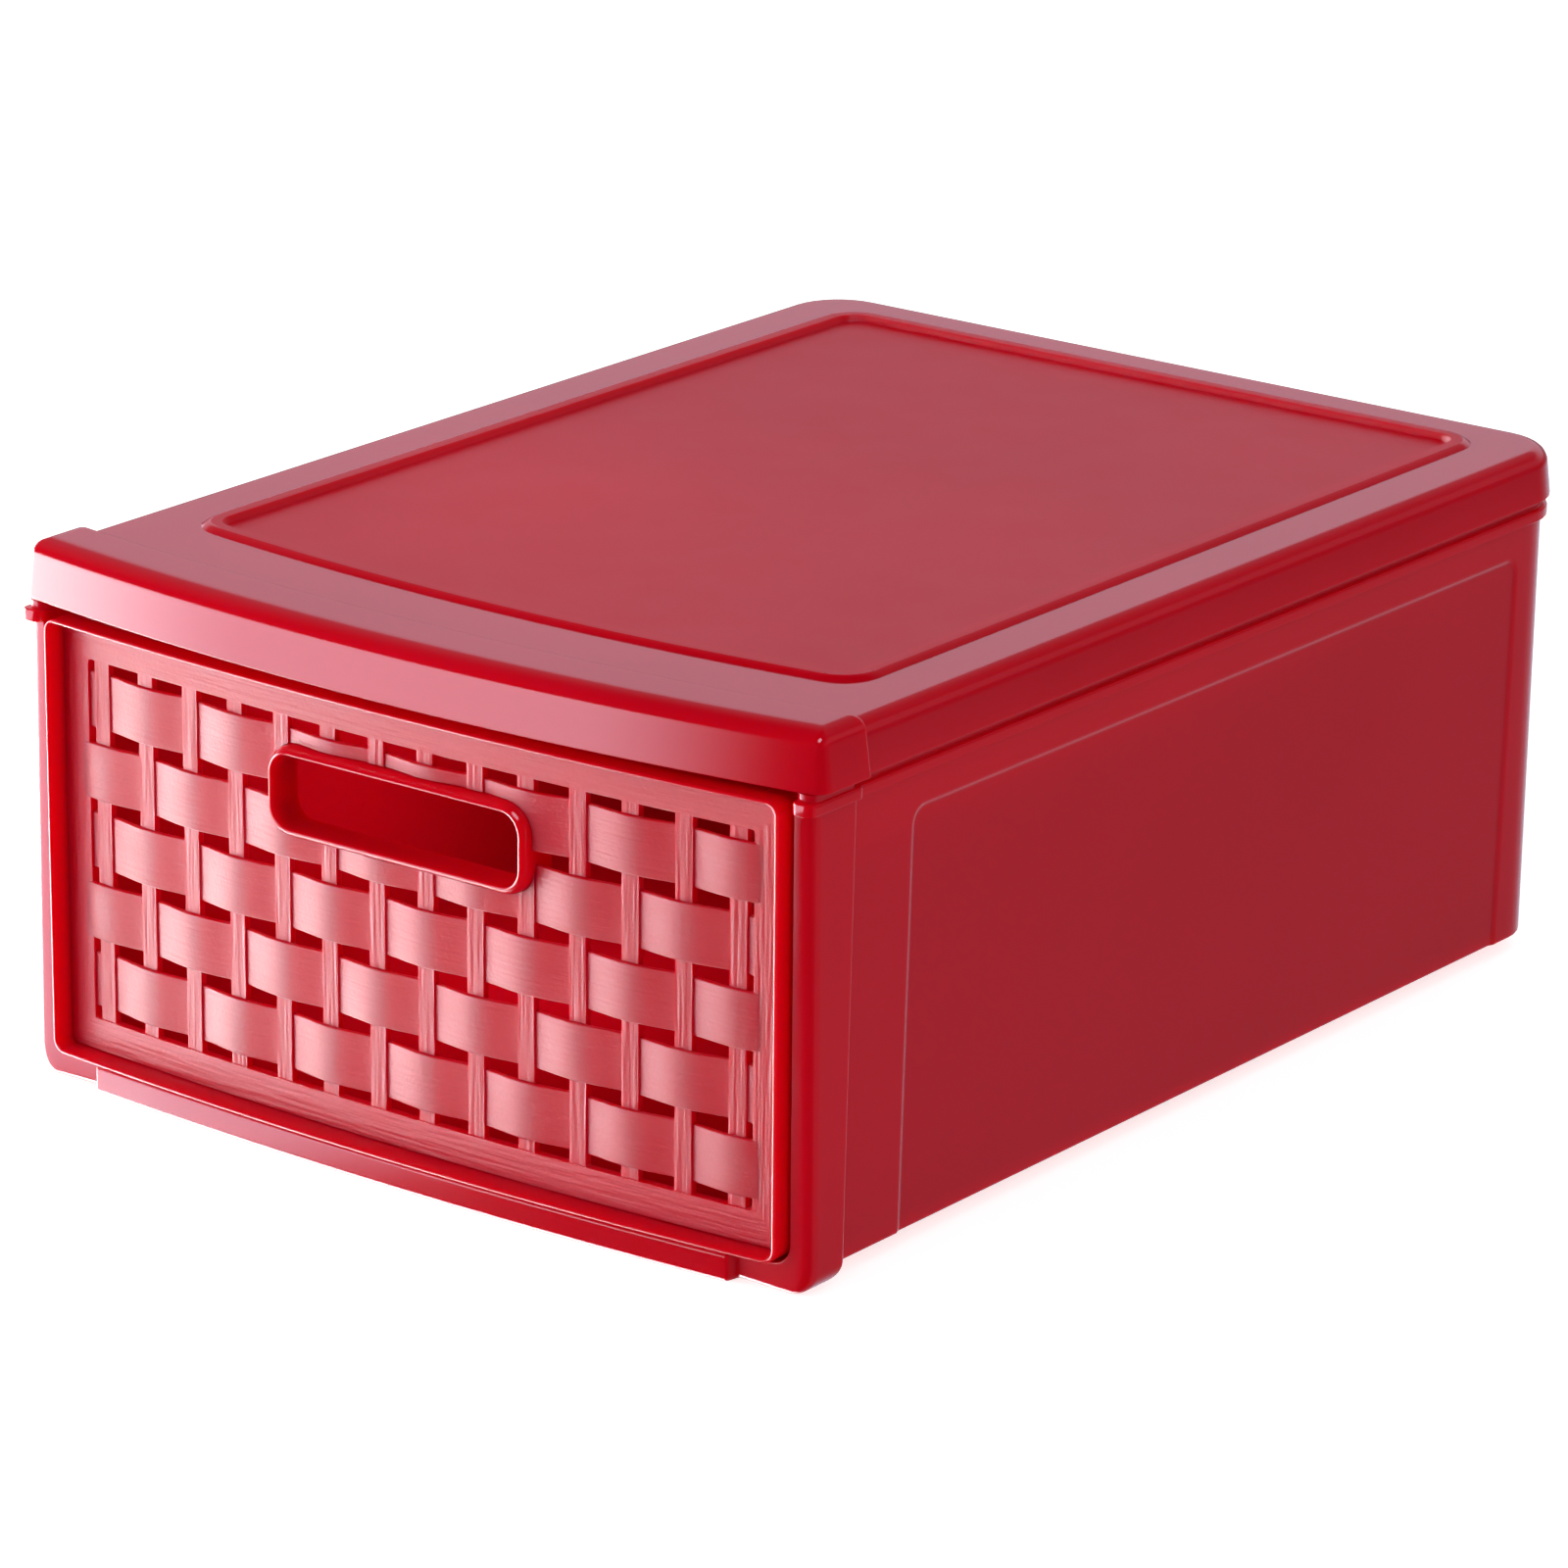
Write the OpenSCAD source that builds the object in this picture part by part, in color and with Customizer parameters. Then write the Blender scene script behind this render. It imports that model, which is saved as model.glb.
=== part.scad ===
// Plastic drawer box: a moulded casing with a lift-off lid and one drawer
// whose front is a woven-look panel with a finger grip.
// Millimetres. The origin is on the base plane, under the middle of the lid.
// +Y runs from the drawer front to the back, +Z is up.

/* [Overall] */
// Width across the front band of the lid
box_w = 282; // [240:1:340]
// Depth from the middle of the bowed lid front to the lid back
box_d = 379; // [300:1:460]
// Height from the base to the top of the lid's front band
box_h = 157; // [130:1:220]

/* [Lid] */
// Height of the lid from its skirt edge to the top of the front band
lid_h = 16.6; // [13:0.1:24]
// Thickness of the lid skirt
lid_wall = 1.8; // [1.4:0.1:3]
// Thickness of the lid top at its sunk panel
lid_top_t = 2.2; // [1.6:0.1:3]
// Radius of the bowed lid front, in plan
lid_bow_r = 850; // [600:10:1600]
// Depth of the front band at the middle
band_d = 23; // [20:0.5:30]
// Radius of the bowed back edge of the front band, in plan
band_back_bow_r = 985; // [700:5:1600]
// Rise of the front band above the rest of the lid
band_rise = 2; // [1:0.1:4]
// Reach of the front band past the lid side
band_side = 2.5; // [1:0.1:5]
// Corner radius of the front band
band_corner_r = 6; // [3:0.5:10]
// Corner radius at the back of the lid
lid_corner_r = 20.5; // [12:0.5:26]
// Distance from the lid side to the ridge ring
ridge_side = 20.2; // [14:0.1:30]
// Distance from the lid back to the ridge ring
ridge_back = 17; // [12:0.5:30]
// Distance from the lid front to the ridge ring
ridge_front = 46.5; // [42:0.5:70]
// Width of the ridge ring
ridge_w = 9; // [4:0.1:11]
// Height of the ridge ring above the lid
ridge_rise = 0.7; // [0.4:0.1:1.6]
// Depth of the sunk panel below the lid
panel_drop = 0.7; // [0.2:0.1:2]
// Outer corner radius of the ridge ring
ridge_corner_r = 13; // [10:0.5:20]

/* [Casing] */
// Thickness of the casing walls
wall_t = 2.2; // [1.6:0.1:3]
// Thickness of the casing floor
floor_t = 2.2; // [1.6:0.1:3]
// Height of the floor above the base
foot_h = 5.8; // [4:0.1:9]
// Width of the foot ring under the floor
foot_w = 10; // [6:0.5:16]
// Distance from the casing side to the foot ring
foot_inset = 12; // [8:0.5:24]
// Lower edge of the side and back walls above the base
wall_lift = 4.5; // [1:0.1:5]
// Inward lean of each wall from its top to its lower edge
wall_lean = 1.6; // [0.4:0.1:2.4]
// Corner radius at the back of the casing
casing_corner_r = 18.5; // [10:0.5:22]
// Height of the rim bead under the lid
bead_h = 3.4; // [2:0.1:6]
// Reach of the rim bead past the wall
bead_out = 1.8; // [1:0.1:2]
// Reach of the rim bead past the side of the posts
bead_lap = 0.9; // [0.4:0.1:2]
// Reach of the rim bead past the front and back of the posts
bead_ends = 2.2; // [0.6:0.1:3]
// Open gap between the rim bead and the lid skirt
lid_gap = 2.4; // [1:0.1:4]
// Depth of the sunk field in each side wall
field_depth = 0.7; // [0.3:0.1:1]
// Distance from the lid skirt down to the sunk field
field_top = 15; // [10:0.1:30]
// Distance from the lid front to the sunk field
field_front = 55.5; // [45:0.5:80]
// Distance from the lid back to the sunk field
field_back = 27.5; // [24:0.5:50]
// Corner radius of the sunk field
field_corner_r = 6; // [3:0.5:10]

/* [Front frame] */
// Setback of the posts from the lid front
post_setback = 11; // [9:0.5:16]
// Width of each post, seen from the front
post_w = 6.5; // [5:0.1:9]
// Reach of the posts past the wall
post_out = 1.9; // [1:0.1:4]
// Depth of each post at its top
post_d_top = 19.4; // [16:0.1:26]
// Depth of each post at its foot
post_d_foot = 15.3; // [12:0.1:19]
// Outer corner radius of the posts, in plan
post_corner_r = 4.2; // [2:0.1:5]
// Corner radius at the foot of the posts
post_foot_r = 6; // [3:0.5:8]
// Lower end of the posts above the base
post_lift = 0.5; // [0.2:0.1:2]
// Inner corner radius at the foot of the opening
opening_r = 6.5; // [3:0.5:9]
// Width of the lip under the drawer
lip_w = 229; // [150:1:250]
// Setback of the lip from the lid front
lip_setback = 3.5; // [2:0.1:7]
// Radius of the bowed lip, in plan
lip_bow_r = 1500; // [1000:10:3000]

/* [Drawer] */
// Gap between the drawer rim and each post
rim_gap = 2.6; // [1:0.1:4]
// Gap between the drawer rim and the casing floor
rim_floor_gap = 0.7; // [0.5:0.1:2]
// Gap between the drawer rim and the lid skirt
rim_lid_gap = 3.1; // [2:0.1:6]
// Setback of the rim from the lid front
rim_setback = 1.4; // [0.5:0.1:5]
// Radius of the bowed rim, in plan
rim_bow_r = 1340; // [900:10:3000]
// Thickness of the rim
rim_t = 1.6; // [1.2:0.1:2.5]
// Corner radius of the rim
rim_corner_r = 4; // [2.6:0.1:6]
// Depth of the tray in front of the woven panel
tray_d = 7.1; // [5:0.1:10]
// Reach of the panel's seat ledge inside the drawer sides
ledge_w = 1; // [0.5:0.1:4]
// Reach of the seat ledge at the top and foot of the tray
ledge_h = 3.4; // [2.8:0.1:6]
// Thickness of the seat ledge
ledge_t = 2; // [1.5:0.1:4]
// Thickness of the drawer sides and back
tub_wall = 2; // [1.5:0.1:3]
// Thickness of the drawer floor
tub_floor = 2; // [1.5:0.1:3]
// Setback of each drawer side from the rim
tub_inset = 2.2; // [1.2:0.1:4]
// Inward lean of each drawer wall from its top to its floor
tub_lean = 1.5; // [0.5:0.1:3]
// Drop of the drawer sides below the rim
tub_drop = 18; // [10:0.5:40]
// Gap between the drawer and the back of the casing
tub_back_gap = 4; // [2:0.5:20]
// Corner radius at the back of the drawer
tub_corner_r = 12; // [6:0.5:16]

/* [Woven panel] */
// Radius of the bowed panel, in plan
panel_bow_r = 1510; // [1000:10:3000]
// Thickness of the panel border
border_t = 2.5; // [1.8:0.1:4]
// Width of the border at the sides
border_side = 9.8; // [7:0.1:16]
// Height of the border at the top and foot
border_end = 9.4; // [7:0.1:16]
// Number of upright ribs
rib_count = 14; // [8:2:20]
// Width of each rib
rib_w = 5.5; // [3:0.1:7]
// Thickness of each rib
rib_t = 2.2; // [1.6:0.1:3]
// Gap between the outermost rib and the border
rib_edge_gap = 2.4; // [1:0.1:5]
// Number of woven bands
band_count = 5; // [3:2:9]
// Height of each woven band
weave_h = 16.6; // [8:0.1:18]
// Thickness of each woven band
weave_t = 1.5; // [1:0.1:2]
// Reach of a band in front of the ribs that it covers
weave_ahead = 0.6; // [0.3:0.1:0.8]
// Setback of a band behind the faces of the other ribs
weave_behind = 1; // [0.5:0.1:1.3]
// Gap above the top band and below the bottom one
weave_edge_gap = 3.4; // [1:0.1:5]

/* [Grip] */
// Width of the grip collar
grip_w = 92; // [80:1:120]
// Height of the grip collar
grip_h = 26.2; // [22:0.1:34]
// Wall of the grip collar
grip_wall = 1.6; // [1.2:0.1:2.4]
// Corner radius of the grip collar
grip_corner_r = 8.5; // [5:0.5:10]
// Drop of the grip's middle below the top of the weave
grip_drop = 20.6; // [18:0.1:30]
// Reach of the collar in front of the panel
grip_out = 3; // [2:0.1:5]
// Reach of the collar into the drawer behind the panel
grip_in = 4; // [2:0.1:8]

/* [Clearances] */
// Gap between the lid and the casing that carries it
lid_clear = 0.3; // [0.2:0.05:0.6]
// Gap between the drawer and the floor it slides on
slide_clear = 0.3; // [0.2:0.05:0.5]
// Gap around the woven panel in its tray and around the grip in the panel
fit_clear = 0.2; // [0.1:0.05:0.4]

/* [Hidden] */
$fn = 64;
bow_fn = 720;
cut = 1;
corner_steps = 6;
bow_steps = 24;
wave_steps = 6;
bond = 0.3;

// Heights
skirt_z = box_h - lid_h;
flange_z = box_h - band_rise;
ceiling_z = flange_z - panel_drop - lid_top_t;
neck_z = ceiling_z - lid_clear;
bead_top = skirt_z - lid_gap;
bead_z = bead_top - bead_h;
floor_z = foot_h + floor_t;
rim_z = floor_z + rim_floor_gap;
rim_top = skirt_z - rim_lid_gap;
tub_z = floor_z + slide_clear;
tub_top = rim_top - tub_drop;

// Widths
lid_w = box_w - 2 * band_side;
casing_w = lid_w - 2 * (lid_wall + lid_clear);
frame_w = casing_w + 2 * post_out;
opening_w = frame_w - 2 * post_w;
rim_w = opening_w - 2 * rim_gap;
tub_w = rim_w - 2 * tub_inset;
ridge_ring_w = lid_w - 2 * ridge_side;

// Depths, from the front backwards
front_y = -box_d / 2;
back_y = box_d / 2;
band_y = front_y + band_d;
band_end = band_y + bow(box_w / 2, band_back_bow_r);
body_y = band_y - 1;
rim_y = front_y + rim_setback;
panel_y = rim_y + tray_d;
post_y = front_y + post_setback;
lip_y = front_y + lip_setback;
casing_y = back_y - lid_wall - lid_clear;
tub_y = casing_y - wall_lean - wall_t - tub_back_gap;

// Woven panel: its plate fills the tray, and the weave fills its opening
plate_w = rim_w - 2 * (rim_t + fit_clear);
plate_z = rim_z + rim_t + fit_clear;
plate_top = rim_top - rim_t - fit_clear;
weave_w = plate_w - 2 * border_side;
weave_z = plate_z + border_end;
weave_top = plate_top - border_end;
rib_pitch = (weave_w - 2 * rib_edge_gap - rib_w) / (rib_count - 1);
row_pitch = (weave_top - weave_z - 2 * weave_edge_gap - weave_h) / (band_count - 1);
plate_bow = bow(plate_w / 2, panel_bow_r);
tray_back = panel_y + plate_bow + max(border_t, rib_t) + fit_clear + ledge_t;
grip_z = weave_top - grip_drop;

red = [0.78, 0.04, 0.12];
dark_red = [0.70, 0.03, 0.10];
satin_red = [0.80, 0.08, 0.16];

// How far a bowed face of radius r lies back at x from its middle
function bow(x, r) = r - sqrt(r * r - x * x);

function arc_points(x, y, r, from, to, steps) =
    [for (i = [0:steps])
        let (a = from + (to - from) * i / steps)
        [x + r * cos(a), y + r * sin(a)]];

// Plan outline with a bowed front, two front radii and two back radii
function bowed_outline(w, front, back, bow_r, front_r, back_r) =
    let (x = w / 2 - front_r)
    let (y = front + bow_r - sqrt(pow(bow_r - front_r, 2) - x * x))
    let (turn = asin(x / (bow_r - front_r)))
    let (front_arc = arc_points(0, front + bow_r, bow_r, 270 - turn, 270 + turn, bow_steps))
    concat(
        arc_points(w / 2 - back_r, back - back_r, back_r, 0, 90, corner_steps),
        arc_points(back_r - w / 2, back - back_r, back_r, 90, 180, corner_steps),
        arc_points(-x, y, front_r, 180, 270 - turn, corner_steps),
        [for (i = [1:bow_steps - 1]) front_arc[i]],
        arc_points(x, y, front_r, 270 + turn, 360, corner_steps));

// Rectangle with one radius on all corners
module rounded_rect(x0, x1, y0, y1, r) {
    translate([x0 + r, y0])
        square([x1 - x0 - 2 * r, y1 - y0]);
    translate([x0, y0 + r])
        square([x1 - x0, y1 - y0 - 2 * r]);
    for (x = [x0 + r, x1 - r], y = [y0 + r, y1 - r])
        translate([x, y])
            circle(r);
}

// Rectangle, middle on x = 0, with round corners at its far end only
module back_rounded_rect(w, front, back, r) {
    translate([-w / 2, front])
        square([w, back - front - r]);
    translate([r - w / 2, front])
        square([w - 2 * r, back - front]);
    for (x = [r - w / 2, w / 2 - r])
        translate([x, back - r])
            circle(r);
}

// Rectangle in plan whose front edge is bowed
module bowed_rect(w, front, back, bow_r) {
    intersection() {
        translate([-w / 2, front - cut])
            square([w, back - front + cut]);
        translate([0, front + bow_r])
            circle(bow_r, $fn = bow_fn);
    }
}

// Solid from an outline drawn in the front view
module from_front(y0, y1) {
    translate([0, y1, 0])
        rotate([90, 0, 0])
            linear_extrude(y1 - y0)
                children();
}

// Solid from an outline drawn in the side view, with Y to the right
module from_side(x0, x1) {
    translate([x0, 0, 0])
        rotate([90, 0, 90])
            linear_extrude(x1 - x0)
                children();
}

module slab(z0, z1) {
    translate([0, 0, z0])
        linear_extrude(z1 - z0)
            children();
}

// Block whose sides and back lean in by the given amount from top to foot
module leaning_block(w, front, back, z0, z1, lean, r) {
    intersection() {
        slab(z0, z1)
            back_rounded_rect(w, front, back, r);
        from_front(front - cut, back + cut)
            polygon([
                [lean - w / 2, z0],
                [w / 2 - lean, z0],
                [w / 2, z1],
                [-w / 2, z1]]);
        from_side(-w / 2 - cut, w / 2 + cut)
            polygon([
                [front, z0],
                [back - lean, z0],
                [back, z1],
                [front, z1]]);
    }
}

// Sunk field in the right-hand wall, leaning with the wall
module side_field() {
    lean_angle = atan(wall_lean / (bead_top - wall_lift));
    field_y = front_y + field_front;
    field_end = back_y - field_back;
    field_z = skirt_z - field_top;
    translate([casing_w / 2 - wall_lean - field_depth, 0, wall_lift])
        rotate([0, lean_angle, 0])
            from_side(0, field_depth + cut)
                rounded_rect(field_y, field_end, -box_h, field_z - wall_lift, field_corner_r);
}

// Posts and sill round the drawer's opening
module front_frame() {
    frame_end = post_y + post_d_top;
    foot_end = post_y + post_d_foot;
    intersection() {
        slab(post_lift, bead_top)
            rounded_rect(-frame_w / 2, frame_w / 2, post_y, frame_end + post_corner_r + cut, post_corner_r);
        from_front(post_y - cut, frame_end + cut)
            difference() {
                rounded_rect(-frame_w / 2, frame_w / 2, post_lift, bead_top + post_foot_r, post_foot_r);
                rounded_rect(-opening_w / 2, opening_w / 2, floor_z, bead_top + opening_r + cut, opening_r);
            }
        from_side(-frame_w / 2 - cut, frame_w / 2 + cut)
            difference() {
                polygon([
                    [post_y - cut, post_lift],
                    [foot_end, post_lift],
                    [frame_end, bead_top],
                    [post_y - cut, bead_top]]);
                translate([foot_end - post_foot_r, post_lift - cut])
                    difference() {
                        square([post_foot_r + cut, post_foot_r + cut]);
                        translate([0, post_foot_r + cut])
                            circle(post_foot_r);
                    }
            }
    }
}

// Bead round the top of the casing, wider over the posts
module rim_bead() {
    front_bead_w = frame_w + 2 * bead_lap;
    post_end = post_y + post_d_top;
    slab(bead_z, bead_top)
        difference() {
            union() {
                back_rounded_rect(casing_w + 2 * bead_out, post_end, casing_y + bead_out,
                    casing_corner_r + bead_out);
                rounded_rect(-front_bead_w / 2, front_bead_w / 2, post_y - bead_ends,
                    post_end + bead_ends, post_corner_r);
            }
            translate([-opening_w / 2, post_y - box_d])
                square([opening_w, box_d]);
            back_rounded_rect(casing_w - 2 * wall_t, post_y - cut, casing_y - wall_t,
                casing_corner_r - wall_t);
        }
}

// Low blocks on the bead over the posts, just under the lid's front corners
module shoulders() {
    shoulder_end = post_y + post_d_top;
    slab(bead_top - bond, skirt_z - lid_clear)
        difference() {
            rounded_rect(-frame_w / 2, frame_w / 2, post_y, shoulder_end, post_corner_r);
            translate([-opening_w / 2, post_y - cut])
                square([opening_w, post_d_top + 2 * cut]);
        }
}

module foot_ring() {
    ring_w = casing_w - 2 * (wall_lean + foot_inset);
    ring_y = post_y + post_d_foot / 2;
    ring_end = casing_y - wall_lean - foot_inset;
    slab(0, foot_h + bond)
        difference() {
            back_rounded_rect(ring_w, ring_y, ring_end, casing_corner_r);
            translate([foot_w - ring_w / 2, ring_y + foot_w])
                square([ring_w - 2 * foot_w, ring_end - ring_y - 2 * foot_w]);
        }
}

module casing() {
    wall_y = post_y + post_corner_r;
    inner_w = casing_w - 2 * wall_t;
    inner_y = casing_y - wall_t;
    inner_r = casing_corner_r - wall_t;
    color(red) {
        difference() {
            union() {
                leaning_block(casing_w, wall_y, casing_y, wall_lift, bead_top, wall_lean, casing_corner_r);
                slab(bead_top - bond, neck_z)
                    back_rounded_rect(casing_w, wall_y, casing_y, casing_corner_r);
            }
            leaning_block(inner_w, wall_y - cut, inner_y, floor_z, bead_top, wall_lean, inner_r);
            leaning_block(inner_w, wall_y - cut, inner_y, wall_lift - cut, foot_h, wall_lean, inner_r);
            slab(bead_top - bond, neck_z + cut)
                back_rounded_rect(inner_w, wall_y - cut, inner_y, inner_r);
            side_field();
            mirror([1, 0, 0])
                side_field();
        }
        front_frame();
        rim_bead();
        shoulders();
        foot_ring();
        slab(0, floor_z)
            bowed_rect(lip_w, lip_y, post_y + post_corner_r, lip_bow_r);
    }
}

// Plan of the lid's front band, bowed at the front and the back
module band_plan() {
    difference() {
        polygon(bowed_outline(box_w, front_y, band_end, lid_bow_r, band_corner_r, bond));
        translate([0, band_y + band_back_bow_r])
            circle(band_back_bow_r, $fn = bow_fn);
    }
}

module lid() {
    ring_y = front_y + ridge_front;
    ring_end = back_y - ridge_back;
    ring_bow_r = lid_bow_r - ridge_front;
    color(dark_red)
        difference() {
            union() {
                slab(skirt_z, flange_z)
                    back_rounded_rect(lid_w, body_y, back_y, lid_corner_r);
                slab(skirt_z, box_h)
                    band_plan();
                slab(flange_z - bond, flange_z + ridge_rise)
                    polygon(bowed_outline(ridge_ring_w, ring_y, ring_end, ring_bow_r,
                        ridge_corner_r, ridge_corner_r));
            }
            slab(flange_z - panel_drop, box_h + cut)
                polygon(bowed_outline(ridge_ring_w - 2 * ridge_w, ring_y + ridge_w, ring_end - ridge_w,
                    ring_bow_r - ridge_w, ridge_corner_r - ridge_w, ridge_corner_r - ridge_w));
            slab(skirt_z - cut, ceiling_z)
                back_rounded_rect(lid_w - 2 * lid_wall, body_y, back_y - lid_wall, lid_corner_r - lid_wall);
            slab(skirt_z - cut, ceiling_z)
                polygon(bowed_outline(box_w - 2 * lid_wall, front_y + lid_wall, band_end - 2 * lid_wall,
                    lid_bow_r - lid_wall, band_corner_r - lid_wall, lid_wall));
        }
}

module drawer_tub() {
    inner_w = tub_w - 2 * tub_wall;
    tray_w = rim_w - 2 * rim_t;
    mouth_w = inner_w - 2 * (tub_lean + ledge_w);
    color(red)
        difference() {
            union() {
                intersection() {
                    slab(rim_z - cut, rim_top + cut)
                        bowed_rect(rim_w + 2 * cut, rim_y, tray_back, rim_bow_r);
                    from_front(rim_y - cut, tray_back + cut)
                        rounded_rect(-rim_w / 2, rim_w / 2, rim_z, rim_top, rim_corner_r);
                }
                leaning_block(tub_w, tray_back - ledge_t, tub_y, tub_z, tub_top, tub_lean, tub_corner_r);
            }
            intersection() {
                from_front(rim_y - cut, tray_back + cut)
                    rounded_rect(-tray_w / 2, tray_w / 2, rim_z + rim_t, rim_top - rim_t,
                        rim_corner_r - rim_t);
                slab(rim_z, rim_top)
                    difference() {
                        translate([-rim_w / 2, rim_y - cut])
                            square([rim_w, tray_back - rim_y]);
                        translate([0, panel_y + panel_bow_r])
                            circle(panel_bow_r - max(border_t, rib_t) - fit_clear, $fn = bow_fn);
                    }
            }
            from_front(rim_y, tray_back + cut)
                rounded_rect(-mouth_w / 2, mouth_w / 2, rim_z + rim_t + ledge_h,
                    rim_top - rim_t - ledge_h, rim_corner_r - rim_t);
            leaning_block(inner_w, tray_back, tub_y - tub_wall, tub_z + tub_floor, tub_top,
                tub_lean, tub_corner_r - tub_wall);
        }
}

// Curved sheet of the woven panel in plan, between two x values
module panel_sheet(x0, x1, thick) {
    intersection() {
        translate([x0, panel_y - cut])
            square([x1 - x0, plate_bow + thick + 2 * cut]);
        translate([0, panel_y + panel_bow_r])
            difference() {
                circle(panel_bow_r, $fn = bow_fn);
                circle(panel_bow_r - thick, $fn = bow_fn);
            }
    }
}

// Front face of a band at x: forward over the ribs it covers, behind the others
function band_face(x, covered_x) =
    panel_y + bow(x, panel_bow_r) + (weave_behind - weave_ahead) / 2
        - (weave_behind + weave_ahead) / 2 * cos(180 * (x - covered_x) / rib_pitch);

module woven_band(row) {
    covered_x = (row % 2 == 0 ? 0.5 : -0.5) * rib_pitch;
    half = weave_w / 2 + bond;
    steps = rib_count * wave_steps;
    xs = [for (i = [0:steps]) half * (2 * i / steps - 1)];
    front = [for (x = xs) [x, band_face(x, covered_x)]];
    back = [for (i = [steps:-1:0]) [xs[i], band_face(xs[i], covered_x) + weave_t]];
    z = weave_z + weave_edge_gap + row * row_pitch;
    slab(z, z + weave_h)
        polygon(concat(front, back));
}

module grip_outline(w, h, r) {
    rounded_rect(-w / 2, w / 2, grip_z - h / 2, grip_z + h / 2, r);
}

module woven_front_panel() {
    hole_w = grip_w + 2 * fit_clear;
    hole_h = grip_h + 2 * fit_clear;
    color(satin_red)
        difference() {
            union() {
                difference() {
                    slab(plate_z, plate_top)
                        panel_sheet(-plate_w / 2, plate_w / 2, border_t);
                    from_front(panel_y - cut, tray_back + cut)
                        rounded_rect(-weave_w / 2, weave_w / 2, weave_z, weave_top, rib_edge_gap / 2);
                }
                for (i = [0:rib_count - 1])
                    let (x = (i - (rib_count - 1) / 2) * rib_pitch)
                    slab(weave_z - bond, weave_top + bond)
                        panel_sheet(x - rib_w / 2, x + rib_w / 2, rib_t);
                for (row = [0:band_count - 1])
                    woven_band(row);
            }
            from_front(panel_y - box_d, panel_y + box_d)
                grip_outline(hole_w, hole_h, grip_corner_r + fit_clear);
        }
}

module grip_collar() {
    collar_y = panel_y - grip_out;
    collar_end = panel_y + bow(grip_w / 2, panel_bow_r) + rib_t + weave_t + grip_in;
    color(dark_red)
        from_front(collar_y, collar_end)
            difference() {
                grip_outline(grip_w, grip_h, grip_corner_r);
                grip_outline(grip_w - 2 * grip_wall, grip_h - 2 * grip_wall, grip_corner_r - grip_wall);
            }
}

casing();
lid();
drawer_tub();
woven_front_panel();
grip_collar();
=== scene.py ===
"""Looks of the plastic drawer box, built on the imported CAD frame.

Shapes are worked out in millimetres and turned into metres when a mesh is made.
+Y runs from the drawer front to the back, and +Z is up.
"""

import math

import bmesh
import bpy
import numpy as np
from mathutils import Matrix, Vector


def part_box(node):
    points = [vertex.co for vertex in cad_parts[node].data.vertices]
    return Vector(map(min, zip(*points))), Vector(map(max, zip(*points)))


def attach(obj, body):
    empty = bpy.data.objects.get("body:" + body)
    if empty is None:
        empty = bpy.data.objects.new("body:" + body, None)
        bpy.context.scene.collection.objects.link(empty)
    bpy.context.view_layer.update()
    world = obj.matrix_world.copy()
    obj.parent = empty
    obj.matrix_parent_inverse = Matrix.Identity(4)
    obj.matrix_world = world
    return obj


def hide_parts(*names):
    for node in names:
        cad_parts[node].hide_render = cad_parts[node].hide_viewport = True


MM = 0.001

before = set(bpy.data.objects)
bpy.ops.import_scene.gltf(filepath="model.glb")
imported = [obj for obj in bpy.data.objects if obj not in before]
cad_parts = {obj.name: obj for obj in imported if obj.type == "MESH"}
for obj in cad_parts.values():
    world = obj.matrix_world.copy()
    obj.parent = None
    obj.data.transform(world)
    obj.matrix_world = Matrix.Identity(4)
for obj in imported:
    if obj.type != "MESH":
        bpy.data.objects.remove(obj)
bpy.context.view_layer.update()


def node_box(node):
    """Lowest and highest corner of a CAD node, in millimetres."""
    low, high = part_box(node)
    return np.array(low) / MM, np.array(high) / MM


# Sizes that come from the frame
lid_low, lid_high = node_box("lid")
_, casing_high = node_box("casing")
tub_low, tub_high = node_box("drawer_tub")
plate_low, plate_high = node_box("woven_front_panel")
grip_low, grip_high = node_box("grip_collar")

front_y = lid_low[1]
back_y = lid_high[1]
top_z = lid_high[2]
skirt_z = lid_low[2]
neck_z = casing_high[2]
band_half = lid_high[0]
bead_post_half = casing_high[0]
rim_half = tub_high[0]
rim_y = tub_low[1]
rim_top = tub_high[2]
tub_z = tub_low[2]
tub_back = tub_high[1]
plate_half = plate_high[0]
plate_z = plate_low[2]
plate_top = plate_high[2]

# Reach of a cutter past the face it opens, and the bow radius of a straight front
cut_past = 5
flat_bow_r = 1e5

# Lid
body_half = band_half - 2.5
body_front = front_y + 16
body_front_r = 8
body_draft = 1.0
body_flare = 0.4
band_back = front_y + 23
band_bow_r = 850
band_back_bow_r = 985
band_corner_r = 5
band_draft = 1.5
band_front_round = 7.5
band_side_round = 5.1
band_round_h = 4.5
band_edge = 1.4
band_least_r = 0.5
band_flat_in = 1.2
flange_z = top_z - 2
lid_back_r = 20.5
lid_round = 5
lid_hollow_front = front_y + 18
lid_hollow_r = 4
band_hollow_r = 1
lid_wall = 1.8
lid_top_t = 2.2
ridge_half = body_half - 20.2
ridge_front = front_y + 46.5
ridge_back = back_y - 17
ridge_bow_r = band_bow_r - 46.5
ridge_corner_r = 13
ridge_rise = 1.3
ridge_outer = 2.8
ridge_crest = 3.0
ridge_inner = 1.3
panel_drop = 0.7
panel_lead = 2
ceiling_z = flange_z - panel_drop - lid_top_t
# Insets and rises of the fine lower edge of the lid
lid_foot_edge = ((0.4, 0), (0.12, 0.12), (0, 0.4))
# Insets and drops at the top of the casing's neck and of the lid's hollow over it
neck_taper = ((0, 3.3), (0.6, 1.2), (1.6, 0))

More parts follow.
